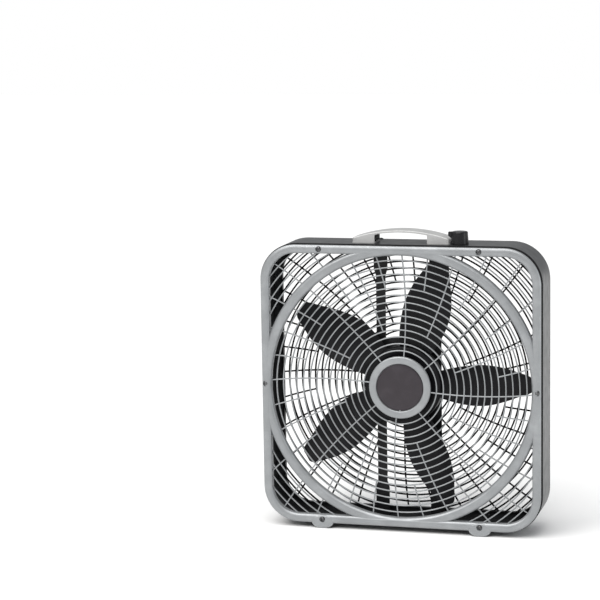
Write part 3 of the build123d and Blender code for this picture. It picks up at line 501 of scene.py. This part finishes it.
# ------------------------------------------------------------ materials
def material(name, color, tint=None, scale=60.0, rough=(0.4, 0.5), rough_scale=220.0, bump=0.02, bump_scale=1400.0,
             bump_mm=0.05, metallic=0.0, coat=0.0, coat_rough=0.1, specular=0.5, stretch=(1, 1, 1), flake=None, edge_wear=None, painted_front_shade=None, sheen=0.0,
             anisotropic=0.0):
    m = bpy.data.materials.new(name)
    m.use_nodes = True
    nt = m.node_tree
    for nd in list(nt.nodes):
        nt.nodes.remove(nd)
    out = nt.nodes.new("ShaderNodeOutputMaterial")
    sh = nt.nodes.new("ShaderNodeBsdfPrincipled")
    nt.links.new(sh.outputs["BSDF"], out.inputs["Surface"])
    sh.inputs["Metallic"].default_value = metallic
    sh.inputs["Coat Weight"].default_value = coat
    sh.inputs["Coat Roughness"].default_value = coat_rough
    sh.inputs["Specular IOR Level"].default_value = specular
    sh.inputs["Anisotropic"].default_value = anisotropic
    co = nt.nodes.new("ShaderNodeTexCoord")
    mp = nt.nodes.new("ShaderNodeMapping")
    mp.inputs["Scale"].default_value = stretch
    nt.links.new(co.outputs["Object"], mp.inputs["Vector"])

    def noise(s, detail=3.0, rough_=0.55, vec=None):
        nd = nt.nodes.new("ShaderNodeTexNoise")
        nd.inputs["Scale"].default_value = s
        nd.inputs["Detail"].default_value = detail
        nd.inputs["Roughness"].default_value = rough_
        nt.links.new(vec or mp.outputs["Vector"], nd.inputs["Vector"])
        return nd.outputs["Fac"]

    def ramp(fac, stops):
        nd = nt.nodes.new("ShaderNodeValToRGB")
        nd.color_ramp.elements[0].position = stops[0][0]
        nd.color_ramp.elements[0].color = (*stops[0][1], 1)
        nd.color_ramp.elements[1].position = stops[-1][0]
        nd.color_ramp.elements[1].color = (*stops[-1][1], 1)
        for p, c in stops[1:-1]:
            e = nd.color_ramp.elements.new(p)
            e.color = (*c, 1)
        nt.links.new(fac, nd.inputs["Fac"])
        return nd.outputs["Color"]

    def ranged(fac, lo, hi, a=0.3, b=0.7):
        nd = nt.nodes.new("ShaderNodeMapRange")
        nd.inputs["From Min"].default_value = a
        nd.inputs["From Max"].default_value = b
        nd.inputs["To Min"].default_value = lo
        nd.inputs["To Max"].default_value = hi
        nt.links.new(fac, nd.inputs["Value"])
        return nd.outputs["Result"]

    tint = tint or tuple(min(1.0, c * 1.12 + 0.002) for c in color)
    dark = tuple(c * (1.0 if name == "floor_paper" else 0.92) for c in color)
    base = ramp(noise(scale), [(0.32, dark), (0.52, color), (0.72, tint)])
    if flake:
        vo = nt.nodes.new("ShaderNodeTexVoronoi")
        vo.inputs["Scale"].default_value = flake[0]
        nt.links.new(co.outputs["Object"], vo.inputs["Vector"])
        mx = nt.nodes.new("ShaderNodeMix")
        mx.data_type = "RGBA"
        nt.links.new(ranged(vo.outputs["Distance"], flake[1], 0.0, 0.0, 0.55), mx.inputs["Factor"])
        nt.links.new(base, mx.inputs["A"])
        mx.inputs["B"].default_value = (*flake[2], 1)
        base = mx.outputs["Result"]
    if painted_front_shade:
        # a painted shade band, darker over part of the depth, standing in for the shadow and dark reflection at the
        # shell's front edge: (where it is full, where it has gone, its colour)
        sp = nt.nodes.new("ShaderNodeSeparateXYZ")
        nt.links.new(co.outputs["Object"], sp.inputs["Vector"])
        mx = nt.nodes.new("ShaderNodeMix")
        mx.data_type = "RGBA"
        nt.links.new(ranged(sp.outputs["Y"], 1.0, 0.0, painted_front_shade[0], painted_front_shade[1]), mx.inputs["Factor"])
        nt.links.new(base, mx.inputs["A"])
        mx.inputs["B"].default_value = (*painted_front_shade[2], 1)
        base = mx.outputs["Result"]
        in_painted_front_shade = ranged(sp.outputs["Y"], 1.0, 0.0, painted_front_shade[0], painted_front_shade[1])
    if edge_wear:
        ge = nt.nodes.new("ShaderNodeNewGeometry")
        mx = nt.nodes.new("ShaderNodeMix")
        mx.data_type = "RGBA"
        wear = ranged(ge.outputs["Pointiness"], 0.0, edge_wear[0], 0.53, 0.60)
        mul = nt.nodes.new("ShaderNodeMath")
        mul.operation = "MULTIPLY"
        nt.links.new(wear, mul.inputs[0])
        nt.links.new(ranged(noise(35.0, 4.0), 0.0, 1.0, 0.45, 0.6), mul.inputs[1])
        nt.links.new(mul.outputs[0], mx.inputs["Factor"])
        nt.links.new(base, mx.inputs["A"])
        mx.inputs["B"].default_value = (*edge_wear[1], 1)
        base = mx.outputs["Result"]
    nt.links.new(base, sh.inputs["Base Color"])
    roughness = ranged(noise(rough_scale, 4.0), rough[0], rough[1])
    if painted_front_shade:
        # inside the painted shade band the roughness goes to 1, so the painted shade takes no reflection
        mx = nt.nodes.new("ShaderNodeMix")
        nt.links.new(in_painted_front_shade, mx.inputs["Factor"])
        nt.links.new(roughness, mx.inputs["A"])
        mx.inputs["B"].default_value = 1.0
        roughness = mx.outputs["Result"]
    nt.links.new(roughness, sh.inputs["Roughness"])
    bp = nt.nodes.new("ShaderNodeBump")
    bp.inputs["Strength"].default_value = bump
    bp.inputs["Distance"].default_value = bump_mm * MM
    nt.links.new(noise(bump_scale, 2.0), bp.inputs["Height"])
    nt.links.new(bp.outputs["Normal"], sh.inputs["Normal"])
    return m


MATERIALS = {
    "front_grille_silver": material("silver_moulding", (0.298, 0.309, 0.318), (0.348, 0.360, 0.370), scale=30, rough=(0.38, 0.47), bump=0.12,
                                    bump_scale=1600, bump_mm=0.03, metallic=0.62, flake=(2600, 0.35, (0.50, 0.51, 0.52))),
    "handle_silver": material("handle_moulding", (0.46, 0.46, 0.457), (0.51, 0.51, 0.505), scale=40, rough=(0.42, 0.5), bump=0.15,
                              bump_scale=1500, bump_mm=0.03, metallic=0.35, flake=(2600, 0.3, (0.75, 0.75, 0.74))),
    # the shell forward of y = -0.038 carries a painted shade band, near-black and fully rough, standing in for the
    # shadow and dark reflection at its front edge behind the bezel
    "shell_paint": material("charcoal_enamel_with_painted_front_shade", (0.029, 0.030, 0.032), (0.037, 0.038, 0.041), scale=14, rough=(0.30, 0.38), rough_scale=60,
                            bump=0.2, bump_scale=420, bump_mm=0.05, specular=0.30, flake=(3000, 0.12, (0.10, 0.10, 0.105)),
                            painted_front_shade=(-0.0380, -0.0370, (0.0025, 0.0025, 0.003))),
    "badge_charcoal": material("badge_lacquer", (0.032, 0.026, 0.031), (0.040, 0.033, 0.039), scale=50, rough=(0.34, 0.42), bump=0.1,
                               bump_scale=1800, bump_mm=0.02, specular=0.35),
    "rear_grille_black": material("black_moulding", (0.0045, 0.0045, 0.0052), scale=45, rough=(0.42, 0.52), bump=0.25, bump_scale=1500,
                                  bump_mm=0.04, specular=0.14),
    "blade_black": material("blade_moulding", (0.007, 0.007, 0.0085), (0.010, 0.010, 0.012), scale=18, rough=(0.34, 0.44), rough_scale=40, bump=0.15,
                            bump_scale=700, bump_mm=0.04, specular=0.2),
    "knob_black": material("knob_moulding", (0.005, 0.005, 0.006), scale=80, rough=(0.26, 0.36), bump=0.4, bump_scale=1300, bump_mm=0.05, specular=0.35),
    "screw_zinc": material("zinc_plate", (0.48, 0.48, 0.5), (0.6, 0.58, 0.52), scale=260, rough=(0.26, 0.4), bump=0.2, bump_scale=3000,
                           bump_mm=0.02, metallic=1.0),
    # the front screws' zinc is darkened well below plain zinc, a painted shade standing in for the dark recess round
    # each head
    "screw_front": material("zinc_darkened_as_painted_recess_shade", (0.11, 0.11, 0.115), (0.17, 0.165, 0.155), scale=260, rough=(0.24, 0.36), bump=0.2, bump_scale=3000,
                            bump_mm=0.02, metallic=1.0),
    "screw_black": material("black_oxide", (0.03, 0.03, 0.032), scale=300, rough=(0.34, 0.46), bump=0.2, bump_scale=2600, bump_mm=0.02,
                            metallic=0.6),
    "strap_black": material("strap_enamel", (0.010, 0.010, 0.011), scale=25, rough=(0.34, 0.44), bump=0.25, bump_scale=500, bump_mm=0.05,
                            specular=0.3),
    "motor_steel": material("motor_shell", (0.028, 0.028, 0.030), (0.038, 0.038, 0.041), scale=60, rough=(0.34, 0.48), bump=0.2,
                            bump_scale=900, bump_mm=0.04, metallic=0.6),
    "lamination_steel": material("laminations", (0.26, 0.25, 0.24), (0.36, 0.34, 0.31), scale=120, rough=(0.4, 0.55), bump=0.6,
                                 bump_scale=260, bump_mm=0.1, metallic=0.9, stretch=(0.05, 6.0, 0.05)),
    "copper_enamel": material("enamelled_copper", (0.42, 0.13, 0.045), (0.6, 0.22, 0.08), scale=90, rough=(0.22, 0.34), bump=0.7,
                              bump_scale=900, bump_mm=0.15, metallic=0.8, coat=0.6, coat_rough=0.12, stretch=(1, 3, 1)),
    "bearing_bronze": material("sintered_bronze", (0.42, 0.27, 0.12), (0.55, 0.38, 0.2), scale=500, rough=(0.35, 0.5), bump=0.4,
                               bump_scale=2600, bump_mm=0.05, metallic=1.0),
    "switch_phenolic": material("phenolic", (0.05, 0.036, 0.028), scale=120, rough=(0.45, 0.55), bump=0.2, bump_scale=1500, bump_mm=0.03),
    "lead_pvc": material("pvc_sleeve", (0.02, 0.02, 0.021), scale=90, rough=(0.4, 0.5), bump=0.15, bump_scale=900, bump_mm=0.03),
    "clip_nylon": material("nylon", (0.62, 0.6, 0.54), (0.7, 0.68, 0.62), scale=100, rough=(0.4, 0.5), bump=0.1, bump_scale=1200, bump_mm=0.02),
    "grommet_rubber": material("rubber", (0.014, 0.014, 0.014), scale=140, rough=(0.6, 0.75), bump=0.3, bump_scale=1600, bump_mm=0.04),
    "shaft_steel": material("ground_steel", (0.5, 0.5, 0.51), (0.58, 0.58, 0.59), scale=200, rough=(0.18, 0.3), bump=0.3, bump_scale=900,
                            bump_mm=0.02, metallic=1.0, stretch=(1, 12, 1)),
    "cage_aluminium": material("cast_aluminium", (0.62, 0.62, 0.63), (0.7, 0.7, 0.71), scale=240, rough=(0.35, 0.5), bump=0.4,
                               bump_scale=1400, bump_mm=0.06, metallic=1.0),
}

NODE_SLOTS = {
    "housing_shell": "shell_paint", "front_grille": "front_grille_silver", "hub_badge": "badge_charcoal", "rear_grille": "rear_grille_black",
    "front_grille_screws": "screw_front", "rear_grille_screws": "screw_black", "motor_strap_left": "strap_black",
    "motor_strap_right": "strap_black", "strap_screws": "screw_black", "motor_front_bell": "motor_steel", "motor_rear_bell": "motor_steel",
    "motor_stator": "lamination_steel", "motor_windings": "copper_enamel", "front_bearing": "bearing_bronze",
    "rear_bearing": "bearing_bronze", "motor_through_bolts": "screw_zinc", "motor_mount_screws": "screw_zinc",
    "motor_mount_nuts": "screw_zinc", "carry_handle": "handle_silver", "handle_screws": "screw_zinc", "switch_body": "switch_phenolic",
    "switch_nut": "screw_zinc", "motor_leads": "lead_pvc", "lead_clips": "clip_nylon", "cord_grommet": "grommet_rubber",
    "fan_blade": "blade_black", "motor_shaft": "shaft_steel", "rotor_core": "lamination_steel", "rotor_cage": "cage_aluminium",
    "thrust_washers": "clip_nylon", "blade_washer": "screw_zinc", "blade_nut": "screw_zinc", "speed_knob": "knob_black",
    "switch_shaft": "clip_nylon",
}
for name, node in NODES.items():
    node.data.materials.clear()
    node.data.materials.append(MATERIALS[NODE_SLOTS[name]])
for ob, slot in ((front_grille, "front_grille_silver"), (rear_grille, "rear_grille_black"), (hub_badge, "badge_charcoal"),
                 (fan_blade, "blade_black")):
    ob.data.materials.clear()
    ob.data.materials.append(MATERIALS[slot])

# ------------------------------------------------------------ floor, light and camera
stage_mesh = bpy.data.meshes.new("floor")
S = 14.0
stage_mesh.from_pydata([(-S, -S, 0), (S, -S, 0), (S, S, 0), (-S, S, 0)], [], [(0, 1, 2, 3)])
floor = bpy.data.objects.new("floor", stage_mesh)
floor.location.z = -0.0002
bpy.context.scene.collection.objects.link(floor)
floor.data.materials.append(material("floor_paper", (0.90, 0.90, 0.90), (0.905, 0.905, 0.905), scale=2, rough=(0.7, 0.8), bump=0.0, specular=0.2))

world = bpy.data.worlds.new("studio")
bpy.context.scene.world = world
world.use_nodes = True
wn = world.node_tree
for nd in list(wn.nodes):
    wn.nodes.remove(nd)
w_out = wn.nodes.new("ShaderNodeOutputWorld")
w_bg = wn.nodes.new("ShaderNodeBackground")
w_bg.inputs["Color"].default_value = (1.0, 1.0, 1.0, 1)
w_bg.inputs["Strength"].default_value = 1.0
w_dim = wn.nodes.new("ShaderNodeBackground")
w_dim.inputs["Color"].default_value = (0.97, 0.985, 1.0, 1)
w_dim.inputs["Strength"].default_value = 0.5
w_mix = wn.nodes.new("ShaderNodeMixShader")
w_lp = wn.nodes.new("ShaderNodeLightPath")
wn.links.new(w_lp.outputs["Is Camera Ray"], w_mix.inputs["Fac"])
wn.links.new(w_dim.outputs[0], w_mix.inputs[1])
wn.links.new(w_bg.outputs[0], w_mix.inputs[2])
wn.links.new(w_mix.outputs[0], w_out.inputs["Surface"])


def softbox(name, at, aim, size, power, color=(1, 1, 1)):
    li = bpy.data.lights.new(name, "AREA")
    li.shape = "RECTANGLE"
    li.size, li.size_y = size
    li.energy = power
    li.color = color
    ob = bpy.data.objects.new(name, li)
    bpy.context.scene.collection.objects.link(ob)
    ob.location = at
    ob.rotation_mode = "QUATERNION"
    ob.rotation_quaternion = (Vector(aim) - Vector(at)).to_track_quat("-Z", "Y")
    return ob


sun = bpy.data.lights.new("sun", "SUN")
sun.energy = 2.8
sun.angle = radians(60)
sun.color = (1.0, 0.99, 0.975)
sun_ob = bpy.data.objects.new("sun", sun)
bpy.context.scene.collection.objects.link(sun_ob)
sun_ob.rotation_mode = "QUATERNION"
sun_ob.rotation_quaternion = Vector((0.22, 0.50, -0.98)).to_track_quat("-Z", "Y")
softbox("key", (-1.5, -2.0, 1.9), (0, 0, 0.28), (1.4, 1.4), 14, (1.0, 0.985, 0.96))
softbox("side", (2.4, -0.4, 0.9), (0, 0, 0.27), (1.0, 1.6), 10, (0.95, 0.98, 1.0))

cam_data = bpy.data.cameras.new("camera")
cam_data.sensor_width = 36.0
cam_data.lens = 2121.6 / 600 * 36.0
cam_data.clip_start, cam_data.clip_end = 0.05, 60.0
cam = bpy.data.objects.new("camera", cam_data)
bpy.context.scene.collection.objects.link(cam)
right = Vector((0.962860, 0.269492, -0.016541))
ahead = Vector((-0.268850, 0.951314, -0.150734))
up = Vector((-0.024887, 0.149584, 0.988436))
m = Matrix.Identity(4)
for i in range(3):
    m[i][0], m[i][1], m[i][2] = right[i], up[i], -ahead[i]
m.translation = Vector((0.8670, -3.7769, 1.0208))
cam.matrix_world = m
bpy.context.scene.camera = cam
bpy.context.scene.view_settings.view_transform = "Standard"
bpy.context.scene.view_settings.look = "None"
